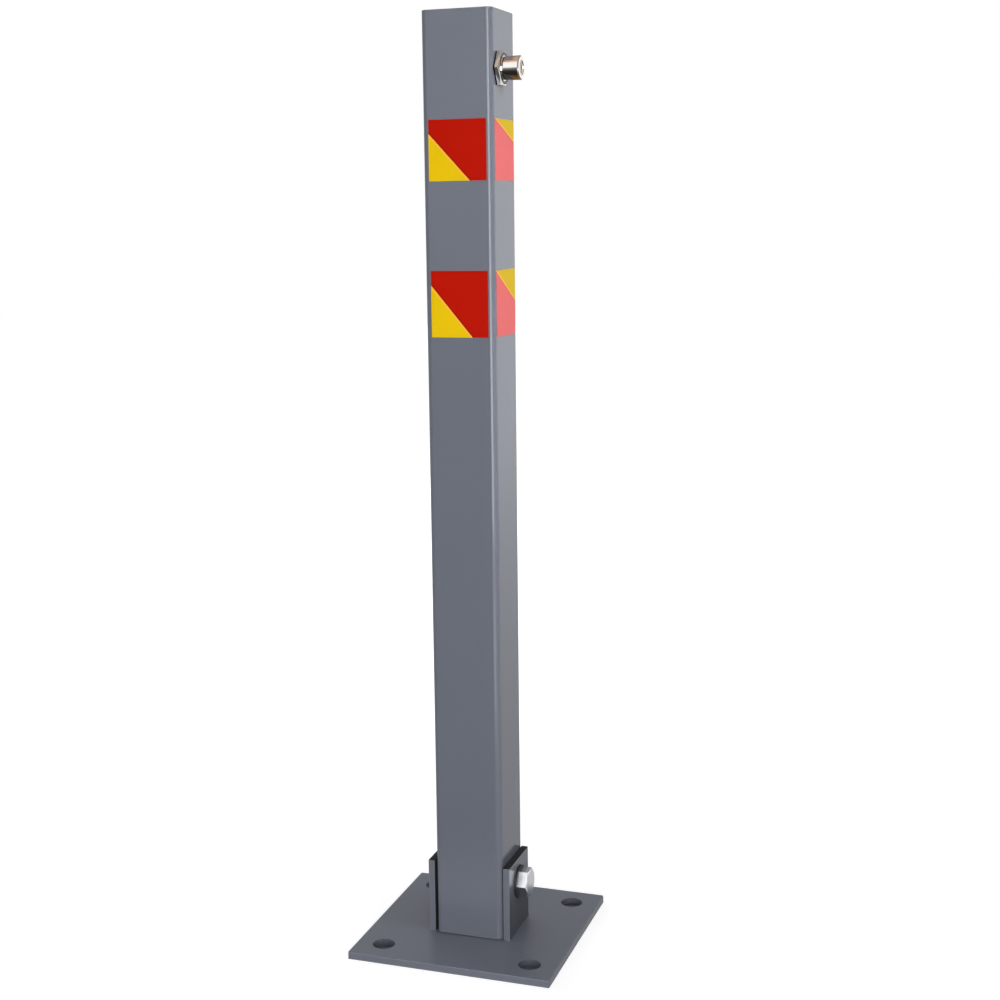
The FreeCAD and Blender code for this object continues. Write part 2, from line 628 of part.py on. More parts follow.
def make_cam_screw():
    """Slotted screw that holds the crank arm on the plug's tail."""
    body = new_body("cam_screw")
    radius = "(dims.screw_diameter / 2)"
    rim = "(dims.screw_head_diameter / 2)"
    profile = (
        ("-dims.screw_head_height", "0"),
        ("-dims.screw_head_height", rim + " - dims.screw_head_bevel"),
        ("-dims.screw_head_height + dims.screw_head_bevel", rim),
        ("0", rim),
        ("0", radius),
        ("dims.screw_length", radius),
        ("dims.screw_length", "0"),
    )
    sketch = new_sketch(body, "XY_Plane", "screw_profile")
    outline(sketch, profile)
    turned(body, "Revolution", sketch, "screw")
    slot = new_sketch(body, "YZ_Plane", "driver_slot_sketch", "-dims.screw_head_height")
    half = "(dims.screw_slot_width / 2)"
    rectangle(slot, "-" + rim, rim, "-" + half, half)
    pocket(body, slot, "driver_slot", "dims.screw_slot_depth", reverse=True)
    place(body, CAM_FACE + " - dims.cam_thickness", LOCK_Y, LOCK_Z)
    return body


def make_cam_pin():
    """Crank pin, from the arm's outer face through the yoke's slot."""
    pin = doc.addObject("Part::Cylinder", "cam_pin")
    pin.Label = "cam_pin"
    pin.Placement.Rotation = FreeCAD.Rotation(FreeCAD.Vector(0, 1, 0), -RIGHT_ANGLE)
    pin.setExpression("Radius", "dims.pin_diameter / 2")
    end = "(%s - dims.yoke_thickness / 2 - dims.pin_overhang)" % YOKE_X
    pin.setExpression("Height", "%s - %s" % (CAM_FACE, end))
    place(pin, CAM_FACE, PIN_Y, PIN_Z)
    return pin


def make_lock_rod():
    """Long round rod behind the pivot bolt, with a bevelled tip that finds the plate's hole."""
    body = new_body("lock_rod")
    sketch = new_sketch(body, "XY_Plane", "rod_section")
    circle(sketch, "dims.rod_diameter")
    shaft = pad(body, sketch, "rod", "%s - %s" % (YOKE_FOOT_Z, ROD_FOOT_Z))
    doc.recompute()
    numbered = enumerate(shaft.Shape.Edges, start=1)
    tip = ["Edge%d" % number for number, edge in numbered if at_height(0)(edge)]
    bevel = body.newObject("PartDesign::Chamfer", "rod_tip")
    bevel.Base = (shaft, tip)
    bevel.setExpression("Size", "dims.rod_tip_chamfer")
    place(body, YOKE_X, "dims.rod_offset", ROD_FOOT_Z)
    return body


def make_rod_yoke():
    """Slotted head on the rod; the crank pin runs along the slot and lifts or drops the rod."""
    body = new_body("rod_yoke")
    sketch = new_sketch(body, "YZ_Plane", "yoke_outline", "-dims.yoke_thickness / 2")
    near = "(%s)" % PIN_Y
    far = "(%s + dims.cam_radius)" % LOCK_Y
    slot_width = "(dims.pin_diameter + 2 * dims.slot_clearance)"
    front = "(%s - %s / 2 - dims.yoke_rim)" % (near, slot_width)
    back = "(dims.rod_offset + dims.rod_diameter / 2)"
    rectangle(sketch, front, back, "-dims.yoke_height / 2", "dims.yoke_height / 2")
    plate = pad(body, sketch, "yoke_plate", "dims.yoke_thickness")

    def lengthwise(edge):
        """A straight edge along X, at a corner of the plate."""
        start, end = edge.Vertexes[0].Point, edge.Vertexes[-1].Point
        return math.isclose(abs(end.x - start.x), start.distanceToPoint(end), abs_tol=SAME)

    rounding(body, plate, "yoke_corners", "dims.yoke_corner_radius", lengthwise)
    slot = new_sketch(body, "YZ_Plane", "yoke_slot_sketch", "-dims.yoke_thickness / 2")
    link(slot, slot_width, slot_width, near, far)
    pocket(body, slot, "yoke_slot", reverse=True)
    place(body, x=YOKE_X, z=PIN_Z)
    return body


def make_rod_guide(label, level):
    """Plate across the tube's inside, bored for the lock rod."""
    body = new_body(label)
    sketch = new_sketch(body, "XY_Plane", label + "_outline")
    square(sketch, "(%s - 2 * dims.guide_gap)" % INNER_WIDTH)
    circle(sketch, ROD_HOLE, YOKE_X, "dims.rod_offset")
    plate = pad(body, sketch, label + "_plate", "dims.guide_thickness")
    rounding(body, plate, label + "_corners", "dims.post_corner_radius", upright_corner)
    place(body, z=level)
    return body


def upright_corner(edge):
    """An upright edge of a plate's outline, not the seam of a round hole."""
    point = edge.Vertexes[0].Point
    return upright(edge) and math.isclose(abs(point.x), abs(point.y), abs_tol=SAME)


BANDS = ("upper", "lower")
FACES = ("front", "right", "back", "left")

pieces = [
    make_base_plate(),
    make_ear("left_ear", "-" + LEFT_EAR_OUTSIDE),
    make_ear("right_ear", RIGHT_EAR_INSIDE),
    make_pivot_bolt(),
    make_pivot_washer(),
    make_pivot_nut(),
    make_post_tube(),
    make_top_cap(),
]
pieces += [make_film(band, face) for band in BANDS for face in FACES]
pieces += [
    make_lock_body(),
    make_lock_washer(),
    make_lock_nut(),
    make_rod_guide("upper_rod_guide", LOCK_Z + " - dims.upper_guide_drop"),
    make_rod_guide("lower_rod_guide", PIVOT_Z + " + dims.lower_guide_rise"),
    make_key_plug(),
    make_cam_arm(),
    make_cam_screw(),
    make_cam_pin(),
    make_lock_rod(),
    make_rod_yoke(),
]
doc.recompute()

for item in doc.Objects:
    if "Invalid" in item.State or "Error" in item.State:
        raise RuntimeError("%s did not build: %s" % (item.Label, item.State))
for piece in pieces:
    shape = piece.Shape
    if shape.isNull() or not shape.isValid() or len(shape.Solids) != 1:
        raise RuntimeError("%s is not one sound solid" % piece.Label)
for piece in pieces:
    piece.Shape.exportStep("parts/%s.step" % piece.Label)
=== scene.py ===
import json
import logging
import math
from dataclasses import dataclass, field, replace
from enum import Enum

import bmesh
import bpy
from mathutils import Matrix, Vector

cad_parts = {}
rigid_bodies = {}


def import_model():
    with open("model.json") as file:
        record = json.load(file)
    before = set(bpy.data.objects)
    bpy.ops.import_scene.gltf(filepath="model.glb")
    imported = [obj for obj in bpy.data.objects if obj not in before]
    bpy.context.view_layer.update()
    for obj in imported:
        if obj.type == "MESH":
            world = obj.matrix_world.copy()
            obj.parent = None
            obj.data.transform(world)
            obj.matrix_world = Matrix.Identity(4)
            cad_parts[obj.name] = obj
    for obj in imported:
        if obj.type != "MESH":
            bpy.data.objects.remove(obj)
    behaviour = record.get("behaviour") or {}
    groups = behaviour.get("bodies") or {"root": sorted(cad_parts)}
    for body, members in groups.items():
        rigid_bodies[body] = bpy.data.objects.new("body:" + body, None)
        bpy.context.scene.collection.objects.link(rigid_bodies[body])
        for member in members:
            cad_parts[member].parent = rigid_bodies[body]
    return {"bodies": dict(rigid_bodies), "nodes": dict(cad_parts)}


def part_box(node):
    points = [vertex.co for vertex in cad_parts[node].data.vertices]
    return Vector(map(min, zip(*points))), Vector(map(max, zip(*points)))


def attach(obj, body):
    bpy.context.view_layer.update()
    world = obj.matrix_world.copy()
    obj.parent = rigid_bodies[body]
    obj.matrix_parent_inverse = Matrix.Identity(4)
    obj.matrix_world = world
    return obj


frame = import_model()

log = logging.getLogger("parking_bollard")

MM = 0.001

Colour = tuple[float, float, float]
Place = tuple[float, float, float]
Span = tuple[float, float]
Socket = bpy.types.NodeSocket
Value = float | tuple[float, ...] | Socket

WHITE: Colour = (1.0, 1.0, 1.0)

# Farther off than any place on the part, in metres
FAR = 10.0

# Middle of the noise's range
NOISE_MIDDLE = 0.5

# Colour sockets of the Mix node, by number because their names repeat
MIX_COLOURS = (6, 7)
MIX_RESULT = 2


class Face(Enum):
    """The post's four faces, with the across direction that runs rightwards on each."""

    FRONT = ("front", 0, 1.0)
    RIGHT = ("right", 1, 1.0)
    BACK = ("back", 0, -1.0)
    LEFT = ("left", 1, -1.0)

    def __init__(self, label: str, axis: int, sign: float) -> None:
        """Keep what tells a face from the others.

        Args:
            label: the face's name.
            axis: the axis that runs across it.
            sign: 1 where that axis runs rightwards, or -1.
        """
        self.label = label
        self.axis = axis
        self.sign = sign


class Band(Enum):
    """The two reflective bands round the post."""

    UPPER = "upper"
    LOWER = "lower"


class Side(Enum):
    """The two hinge ears, by the sign of X."""

    LEFT = -1
    RIGHT = 1


class Graph:
    """A node tree, with short calls that place nodes and join them."""

    def __init__(self, tree: bpy.types.NodeTree) -> None:
        """Work on one tree."""
        self.tree = tree

    def add(self, kind: str, **settings: object) -> bpy.types.Node:
        """Place a shader node.

        Args:
            kind: the node's type, without its ShaderNode prefix.
            settings: properties to set on it.

        Returns:
            The new node.
        """
        node = self.tree.nodes.new("ShaderNode" + kind)
        for name, value in settings.items():
            setattr(node, name, value)
        return node

    def feed(self, socket: Socket, value: Value) -> None:
        """Give a socket a number, a colour or another socket's output.

        Args:
            socket: the input that is set.
            value: what it gets.
        """
        if isinstance(value, bpy.types.NodeSocket):
            self.tree.links.new(value, socket)
        else:
            socket.default_value = value

    def math(self, operation: str, first: Value, second: Value = 0.0, third: Value = 0.0) -> Socket:
        """Join up to three values with one sum.

        Args:
            operation: the Math node's operation.
            first: its first input.
            second: its second input.
            third: its third input.

        Returns:
            The result's socket.
        """
        node = self.add("Math", operation=operation)
        for socket, value in zip(node.inputs, (first, second, third)):
            self.feed(socket, value)
        return node.outputs[0]

    def vector(self, operation: str, first: Value, second: Value) -> Socket:
        """Join two vectors with one sum.

        Args:
            operation: the Vector Math node's operation.
            first: its first vector.
            second: its second vector.

        Returns:
            The result's socket, a number for a length or a dot product.
        """
        node = self.add("VectorMath", operation=operation)
        self.feed(node.inputs[0], first)
        self.feed(node.inputs[1], second)
        return node.outputs["Value" if operation in ("LENGTH", "DOT_PRODUCT") else "Vector"]

    def parts(self, vector: Value) -> list[Socket]:
        """Split a vector.

        Args:
            vector: what is split.

        Returns:
            The sockets of its X, Y and Z.
        """
        node = self.add("SeparateXYZ")
        self.feed(node.inputs[0], vector)
        return list(node.outputs)

    def hypotenuse(self, first: Socket, second: Socket) -> Socket:
        """The distance that two steps at right angles make."""
        squares = [self.math("MULTIPLY", step, step) for step in (first, second)]
        return self.math("SQRT", self.math("ADD", *squares))

    def ramp(self, value: Value, start: Value, end: Value, low: Value = 0.0, high: Value = 1.0) -> Socket:
        """A smooth step.

        Args:
            value: what is read.
            start: where the step starts.
            end: where the step ends.
            low: the result up to start.
            high: the result past end.

        Returns:
            The stepped value's socket.
        """
        node = self.add("MapRange", interpolation_type="SMOOTHSTEP")
        names = ("Value", "From Min", "From Max", "To Min", "To Max")
        for name, fed in zip(names, (value, start, end, low, high)):
            self.feed(node.inputs[name], fed)
        return node.outputs["Result"]

    def blend(self, share: Value, first: Value, second: Value, mode: str = "MIX") -> Socket:
        """Mix two colours.

        Args:
            share: how much of the second colour.
            first: the first colour.
            second: the second colour.
            mode: the way of mixing.

        Returns:
            The mixed colour's socket.
        """
        node = self.add("Mix", data_type="RGBA", blend_type=mode)
        self.feed(node.inputs["Factor"], share)
        for index, colour in zip(MIX_COLOURS, (first, second)):
            self.feed(node.inputs[index], colour)
        return node.outputs[MIX_RESULT]

    def noise(self, where: Value, scale: Value, detail: float = 2.0) -> Socket:
        """Cloudy noise between 0 and 1.

        Args:
            where: the place that is read.
            scale: lumps per metre.
            detail: how many finer layers it has.

        Returns:
            The noise's socket.
        """
        node = self.add("TexNoise")
        self.feed(node.inputs["Vector"], where)
        self.feed(node.inputs["Scale"], scale)
        node.inputs["Detail"].default_value = detail
        return node.outputs["Fac"]


class Effect:
    """A shader node group that several finishes share, built once."""

    name: str = ""
    inputs: dict[str, str] = {}
    outputs: dict[str, str] = {}

    def __init__(self) -> None:
        """Make the group with its sockets, and fill it."""
        self.tree = bpy.data.node_groups.new(self.name, "ShaderNodeTree")
        for direction, sockets in (("INPUT", self.inputs), ("OUTPUT", self.outputs)):
            for label, kind in sockets.items():
                self.tree.interface.new_socket(name=label, in_out=direction, socket_type="NodeSocket" + kind)
        graph = Graph(self.tree)
        given = self.tree.nodes.new("NodeGroupInput")
        made = self.tree.nodes.new("NodeGroupOutput")
        for label, socket in self.fill(graph, given.outputs).items():
            graph.feed(made.inputs[label], socket)

    def fill(self, graph: Graph, given: bpy.types.bpy_prop_collection) -> dict[str, Socket]:
        """Build the group's nodes.

        Args:
            graph: the group's tree.
            given: the group's inputs.

        Returns:
            Each output's socket by its name.
        """
        raise NotImplementedError

    def place(self, graph: Graph, **values: Value) -> bpy.types.bpy_prop_collection:
        """Put the group in a material.

        Args:
            graph: the material's tree.
            values: the inputs, by name, with underscores for spaces.

        Returns:
            The group's outputs.
        """
        node = graph.add("Group", node_tree=self.tree)
        for label, value in values.items():
            graph.feed(node.inputs[label.replace("_", " ")], value)
        return node.outputs


class PowderGrain(Effect):
    """Orange peel, clouding and uneven gloss of a powder coat."""

    name = "powder_grain"
    inputs = {"Peel Scale": "Float", "Cloud": "Float", "Roughness": "Float", "Unevenness": "Float"}
    outputs = {"Tone": "Float", "Roughness": "Float", "Height": "Float"}
    fine_ratio: float = 3.7
    fine_share: float = 0.35
    clouds_per_metre: float = 14.0
    speck_share: float = 0.5

    def fill(self, graph: Graph, given: bpy.types.bpy_prop_collection) -> dict[str, Socket]:
        """Peel from two sizes of noise, clouds from a third.

        Args:
            graph: the group's tree.
            given: the group's inputs.

        Returns:
            The tone, the roughness and the height.
        """
        where = graph.add("TexCoord").outputs["Object"]
        peel = graph.noise(where, given["Peel Scale"], 1.0)
        fine = graph.noise(where, graph.math("MULTIPLY", given["Peel Scale"], self.fine_ratio), 2.0)
        clouds = graph.math("SUBTRACT", graph.noise(where, self.clouds_per_metre, 4.0), NOISE_MIDDLE)
        specks = graph.math("SUBTRACT", fine, NOISE_MIDDLE)
        tone = graph.math("MULTIPLY_ADD", clouds, given["Cloud"], 1.0)
        specked = graph.math("MULTIPLY", given["Cloud"], self.speck_share)
        tone = graph.math("MULTIPLY_ADD", specks, specked, tone)
        gloss = graph.math("MULTIPLY_ADD", clouds, given["Unevenness"], given["Roughness"])
        height = graph.math("MULTIPLY_ADD", fine, self.fine_share, peel)
        return {"Tone": tone, "Roughness": gloss, "Height": height}


class RimWear(Effect):
    """Mask along the edges of a box-shaped piece, broken up by noise."""

    name = "rim_wear"
    inputs = {"Centre": "Vector", "Half Size": "Vector", "Width": "Float"}
    outputs = {"Mask": "Float"}
    breaks_per_metre: float = 160.0
    break_band: Span = (0.3, 0.6)

    def fill(self, graph: Graph, given: bpy.types.bpy_prop_collection) -> dict[str, Socket]:
        """The second nearest face of the box gives the distance to an edge.

        Args:
            graph: the group's tree.
            given: the group's inputs.

        Returns:
            The mask.
        """
        where = graph.add("TexCoord").outputs["Object"]
        away = graph.vector("SUBTRACT", where, given["Centre"])
        away = graph.vector("SUBTRACT", graph.vector("ABSOLUTE", away, (0.0, 0.0, 0.0)), given["Half Size"])
        x, y, z = graph.parts(away)
        low = graph.math("MINIMUM", x, y)
        high = graph.math("MAXIMUM", x, y)
        second = graph.math("MAXIMUM", low, graph.math("MINIMUM", high, z))
        edge = graph.ramp(second, graph.math("MULTIPLY", given["Width"], -1.0), 0.0)
        broken = graph.ramp(graph.noise(where, self.breaks_per_metre, 3.0), *self.break_band)
        return {"Mask": graph.math("MULTIPLY", edge, broken)}


class PaintedShadeFaces(Effect):
    """Mask of painted shade: on the walls of four bores, on tops, on faces turned inwards and on the feet of
    faces turned sideways.
    """

    name = "bare_faces"
    inputs = {
        "Bore Offset": "Float",
        "Bore Radius": "Float",
        "Sheared Share": "Float",
        "Foot Height": "Float",
    }
    outputs = {"Mask": "Float"}
    turned_band: Span = (0.35, 0.8)
    foot_start: float = 0.55
    foot_share: float = 0.6

    def fill(self, graph: Graph, given: bpy.types.bpy_prop_collection) -> dict[str, Socket]:
        """The four bores are one bore in mirrored coordinates; the normal tells tops and inner faces.

        Args:
            graph: the group's tree.
            given: the group's inputs.

        Returns:
            The mask.
        """
        place = graph.add("TexCoord").outputs
        side, depth, height = graph.parts(place["Object"])
        x = graph.math("SUBTRACT", graph.math("ABSOLUTE", side), given["Bore Offset"])
        y = graph.math("SUBTRACT", graph.math("ABSOLUTE", depth), given["Bore Offset"])
        away = graph.hypotenuse(x, y)
        # Painted shade on the walls of the four bores
        bore = graph.math("LESS_THAN", away, given["Bore Radius"])
        lean, _, rise = graph.parts(place["Normal"])
        # Painted shade on tops and on faces turned in towards the middle
        inward = graph.math("MULTIPLY", graph.math("SIGN", side), graph.math("MULTIPLY", lean, -1.0))
        turned = graph.ramp(graph.math("MAXIMUM", rise, inward), *self.turned_band)
        # Painted shade that grows towards the foot of faces turned sideways
        start = graph.math("MULTIPLY", given["Foot Height"], self.foot_start)
        foot = graph.ramp(height, start, given["Foot Height"], self.foot_share, 0.0)
        sideways = graph.ramp(graph.math("ABSOLUTE", lean), *self.turned_band)
        foot = graph.math("MULTIPLY", foot, sideways)
        ear = graph.math("MULTIPLY", graph.math("MAXIMUM", turned, foot), given["Sheared Share"])
        return {"Mask": graph.math("MAXIMUM", bore, ear)}


class CollarFlats(Effect):
    """A collar about an axis along X: its ring, and the painted dark reflection and shade on its end face and
    on the inner half of the flats.
    """

    name = "collar_flats"
    inputs = {"Axis": "Vector", "Inner Radius": "Float"}
    outputs = {"Ring": "Float", "Dark": "Float"}
    flat_lean: Span = (0.1, 0.3)
    end_lean: Span = (0.93, 0.98)
    dark_reach: Span = (0.8 * MM, 1.2 * MM)

    def fill(self, graph: Graph, given: bpy.types.bpy_prop_collection) -> dict[str, Socket]:
        """The normal leaves the chamfer out and the distance from the axis picks the collar.

        Args:
            graph: the group's tree.
            given: the group's inputs.

        Returns:
            The masks of the ring and of the painted dark reflection and shade on it.
        """
        place = graph.add("TexCoord").outputs
        x, y, z = graph.parts(graph.vector("SUBTRACT", place["Object"], given["Axis"]))
        away = graph.hypotenuse(y, z)
        ring = graph.math("GREATER_THAN", away, given["Inner Radius"])
        lean = graph.parts(place["Normal"])[0]
        # Painted shade on the flats' half next to the post, and painted dark reflection on the end face
        flat = graph.ramp(lean, *self.flat_lean, 1.0, 0.0)
        flat = graph.math("MULTIPLY", flat, graph.ramp(x, *self.dark_reach, 1.0, 0.0))
        flat = graph.math("MAXIMUM", graph.ramp(lean, *self.end_lean), flat)
        return {"Ring": ring, "Dark": graph.math("MULTIPLY", ring, flat)}


class PaintedReflection(Effect):
    """Masks of a round bar's upper side and underside, for painted reflection: warm above and dark below."""

    name = "tarnish"
    inputs = {"Upper Start": "Float", "Under Start": "Float", "Spared": "Float"}
    outputs = {"Upper": "Float", "Under": "Float"}
    softness: float = 0.3

    def fill(self, graph: Graph, given: bpy.types.bpy_prop_collection) -> dict[str, Socket]:
        """The normal's height tells the two sides.

        Args:
            graph: the group's tree.
            given: the group's inputs.

        Returns:
            The masks of both sides.
        """
        rise = graph.parts(graph.add("TexCoord").outputs["Normal"])[2]
        fall = graph.math("MULTIPLY", rise, -1.0)
        upper = graph.ramp(rise, given["Upper Start"], graph.math("ADD", given["Upper Start"], self.softness))
        under = graph.ramp(fall, given["Under Start"], graph.math("ADD", given["Under Start"], self.softness))
        # Painted reflection everywhere but on the collar's ring
        reflection_share = graph.math("SUBTRACT", 1.0, given["Spared"])
        masks = {"Upper": upper, "Under": under}
        return {label: graph.math("MULTIPLY", mask, reflection_share) for label, mask in masks.items()}


class KeywayShade(Effect):
    """Mask of painted shade on what lies deeper along X than a face, as the inside of a keyway does."""

    name = "keyway_shade"
    inputs = {"Face": "Float", "Depth": "Float"}
    outputs = {"Mask": "Float"}

    def fill(self, graph: Graph, given: bpy.types.bpy_prop_collection) -> dict[str, Socket]:
        """The mask grows with the distance behind the face."""
        deep = graph.math("SUBTRACT", given["Face"], graph.parts(graph.add("TexCoord").outputs["Object"])[0])
        return {"Mask": graph.ramp(deep, 0.0, given["Depth"])}


class MetalGrain(Effect):
    """Plated metal: fine turning marks, dull patches and faint specks."""

    name = "metal_grain"
    inputs = {"Scale": "Float", "Stretch": "Vector", "Roughness": "Float", "Unevenness": "Float"}
    outputs = {"Tone": "Float", "Roughness": "Float", "Height": "Float"}
    patches_per_metre: float = 210.0
    patch_tone: float = 0.16
    mark_share: float = 0.5

    def fill(self, graph: Graph, given: bpy.types.bpy_prop_collection) -> dict[str, Socket]:
        """Marks are noise that is stretched round the piece's axis.

        Args:
            graph: the group's tree.
            given: the group's inputs.

        Returns:
            The tone, the roughness and the height.
        """
        where = graph.add("TexCoord").outputs["Object"]
        marks = graph.noise(graph.vector("MULTIPLY", where, given["Stretch"]), given["Scale"], 3.0)
        patches = graph.math("SUBTRACT", graph.noise(where, self.patches_per_metre, 3.0), NOISE_MIDDLE)
        tone = graph.math("MULTIPLY_ADD", patches, self.patch_tone, 1.0)
        rough = graph.math("MULTIPLY_ADD", patches, given["Unevenness"], given["Roughness"])
        marked = graph.math("MULTIPLY", given["Unevenness"], self.mark_share)
        rough = graph.math("MULTIPLY_ADD", marks, marked, rough)
        return {"Tone": tone, "Roughness": rough, "Height": marks}


class FilmCells(Effect):
    """Sealed honeycomb cells of a reflective film."""

    name = "film_cells"
    inputs = {"Cells Per Metre": "Float", "Seam Share": "Float"}
    outputs = {"Tone": "Float", "Height": "Float"}
    irregularity: float = 0.25
    clouds_per_metre: float = 40.0
    cloud_tone: float = 0.10
    seam_tone: float = 0.95
    cell_tone: float = 0.05

    def fill(self, graph: Graph, given: bpy.types.bpy_prop_collection) -> dict[str, Socket]:
        """Seams are the borders of a fine cell pattern.

        Args:
            graph: the group's tree.
            given: the group's inputs.

        Returns:
            The tone and the height.
        """
        where = graph.add("TexCoord").outputs["Object"]
        cells = graph.add("TexVoronoi", feature="DISTANCE_TO_EDGE")
        graph.feed(cells.inputs["Vector"], where)
        graph.feed(cells.inputs["Scale"], given["Cells Per Metre"])
        cells.inputs["Randomness"].default_value = self.irregularity
        inside = graph.ramp(cells.outputs["Distance"], 0.0, given["Seam Share"])
        clouds = graph.math("SUBTRACT", graph.noise(where, self.clouds_per_metre, 3.0), NOISE_MIDDLE)
        tone = graph.math("MULTIPLY_ADD", inside, self.cell_tone, self.seam_tone)
        tone = graph.math("MULTIPLY_ADD", clouds, self.cloud_tone, tone)
        return {"Tone": tone, "Height": inside}


class DiagonalPrint(Effect):
    """One straight border between two printed colours, with a thin line along each side."""

    name = "diagonal_print"
    inputs = {
        "Across": "Float",
        "Height": "Float",
        "Normal Across": "Float",
        "Normal Height": "Float",
        "Offset": "Float",
    }
    outputs = {"Inside": "Float", "Bright Line": "Float", "Dark Line": "Float"}
    soft_edge: float = 0.15 * MM
    bright_reach: Span = (0.8 * MM, 1.6 * MM)
    dark_reach: Span = (-1.2 * MM, -0.4 * MM)

    def fill(self, graph: Graph, given: bpy.types.bpy_prop_collection) -> dict[str, Socket]:
        """The signed distance from the border tells the two colours and the lines apart.

        Args:
            graph: the group's tree.
            given: the group's inputs.

        Returns:
            The masks of the second colour and of both lines.
        """
        reach = graph.math("MULTIPLY_ADD", given["Height"], given["Normal Height"], given["Offset"])
        reach = graph.math("MULTIPLY_ADD", given["Across"], given["Normal Across"], reach)
        inside = graph.ramp(reach, -self.soft_edge, self.soft_edge)
        bright = graph.math("MULTIPLY", inside, graph.ramp(reach, *self.bright_reach, 1.0, 0.0))
        outside = graph.math("SUBTRACT", 1.0, inside)
        dark = graph.math("MULTIPLY", outside, graph.ramp(reach, *self.dark_reach))
        return {"Inside": inside, "Bright Line": bright, "Dark Line": dark}


@dataclass
class Effects:
    """The shared node groups, one of each."""

    powder: PowderGrain = field(default_factory=PowderGrain)
    rim: RimWear = field(default_factory=RimWear)
    # Painted shade on bore walls, tops, inner faces and feet
    bare: PaintedShadeFaces = field(default_factory=PaintedShadeFaces)
    collar: CollarFlats = field(default_factory=CollarFlats)
    tarnish: PaintedReflection = field(default_factory=PaintedReflection)
    keyway: KeywayShade = field(default_factory=KeywayShade)
    metal: MetalGrain = field(default_factory=MetalGrain)
    cells: FilmCells = field(default_factory=FilmCells)
    diagonal: DiagonalPrint = field(default_factory=DiagonalPrint)


def new_material(name: str) -> tuple[bpy.types.Material, Graph, bpy.types.Node]:
    """An empty material.

    Args:
        name: the material's name.

    Returns:
        The material, its tree and its Principled BSDF.
    """
    material = bpy.data.materials.new(name)
    material.use_nodes = True
    graph = Graph(material.node_tree)
    graph.tree.nodes.clear()
    shader = graph.add("BsdfPrincipled")
    output = graph.add("OutputMaterial")
    graph.feed(output.inputs["Surface"], shader.outputs["BSDF"])
    return material, graph, shader


def opaque(colour: Colour) -> tuple[float, ...]:
    """A colour with full alpha."""
    return (*colour, 1.0)


def toned(graph: Graph, colour: Value, tone: Socket) -> Socket:
    """A colour made lighter or darker by a tone.

    Args:
        graph: the material's tree.
        colour: the colour, of four numbers or a socket.
        tone: the factor.

    Returns:
        The toned colour's socket.
    """
    shades = graph.add("CombineColor")
    for socket in shades.inputs[:3]:
        graph.feed(socket, tone)
    return graph.blend(1.0, colour, shades.outputs["Color"], "MULTIPLY")


def bumped(graph: Graph, shader: bpy.types.Node, height: Socket, distance: float, strength: float) -> None:
    """Raise the surface's shading by a height.

    Args:
        graph: the material's tree.
        shader: the Principled BSDF.
        height: the height's socket.
        distance: the height of the whole range, in metres.
        strength: how much of the effect is used.
    """
    bump = graph.add("Bump")
    bump.inputs["Strength"].default_value = strength
    bump.inputs["Distance"].default_value = distance
    graph.feed(bump.inputs["Height"], height)
    graph.feed(shader.inputs["Normal"], bump.outputs["Normal"])


@dataclass(frozen=True)
class PaintFinish:
    """Semi-gloss grey powder coat on steel."""

    colour: Colour = (0.125, 0.136, 0.168)
    rim_colour: Colour = (0.17, 0.18, 0.21)
    roughness: float = 0.15
    unevenness: float = 0.05
    cloud: float = 0.07
    peel_per_metre: float = 650.0
    peel_depth: float = 0.012 * MM
    peel_strength: float = 0.6
    rim_width: float = 0.9 * MM
    # Painted shade: its strength on tops and inner faces, the height it reaches on feet, where the bores lie,
    # and its colour and roughness
    ear_shade_share: float = 0.0
    foot_shade_height: float = 0.0
    bore_offset: float = 0.0
    bore_radius: float = 0.0
    shade_colour: Colour = (0.006, 0.0065, 0.008)
    shade_roughness: float = 0.6

    def material(self, effects: Effects, name: str, low: Vector, high: Vector) -> bpy.types.Material:
        """The paint on one box-shaped piece.

        Args:
            effects: the shared groups.
            name: the material's name.
            low: the piece's lowest corner.
            high: the piece's highest corner.

        Returns:
            The paint's material.
        """
        material, graph, shader = new_material(name)
        grain = effects.powder.place(
            graph,
            Peel_Scale=self.peel_per_metre,
            Cloud=self.cloud,
            Roughness=self.roughness,
            Unevenness=self.unevenness,
        )
        rim = effects.rim.place(
            graph, Centre=(low + high) / 2, Half_Size=(high - low) / 2, Width=self.rim_width
        )
        worn_and_shaded = graph.blend(rim["Mask"], opaque(self.colour), opaque(self.rim_colour))
        # Painted shade on bore walls, tops, inner faces and feet, laid over the paint and its worn rims
        bare = effects.bare.place(
            graph,
            Bore_Offset=self.bore_offset,
            Bore_Radius=self.bore_radius,
            Sheared_Share=self.ear_shade_share,
            Foot_Height=self.foot_shade_height,
        )
        worn_and_shaded = graph.blend(bare["Mask"], worn_and_shaded, opaque(self.shade_colour))
        graph.feed(shader.inputs["Base Color"], toned(graph, worn_and_shaded, grain["Tone"]))
        dulled = graph.math("MULTIPLY_ADD", bare["Mask"], self.shade_roughness, grain["Roughness"])
        graph.feed(shader.inputs["Roughness"], dulled)
        bumped(graph, shader, grain["Height"], self.peel_depth, self.peel_strength)
        return material


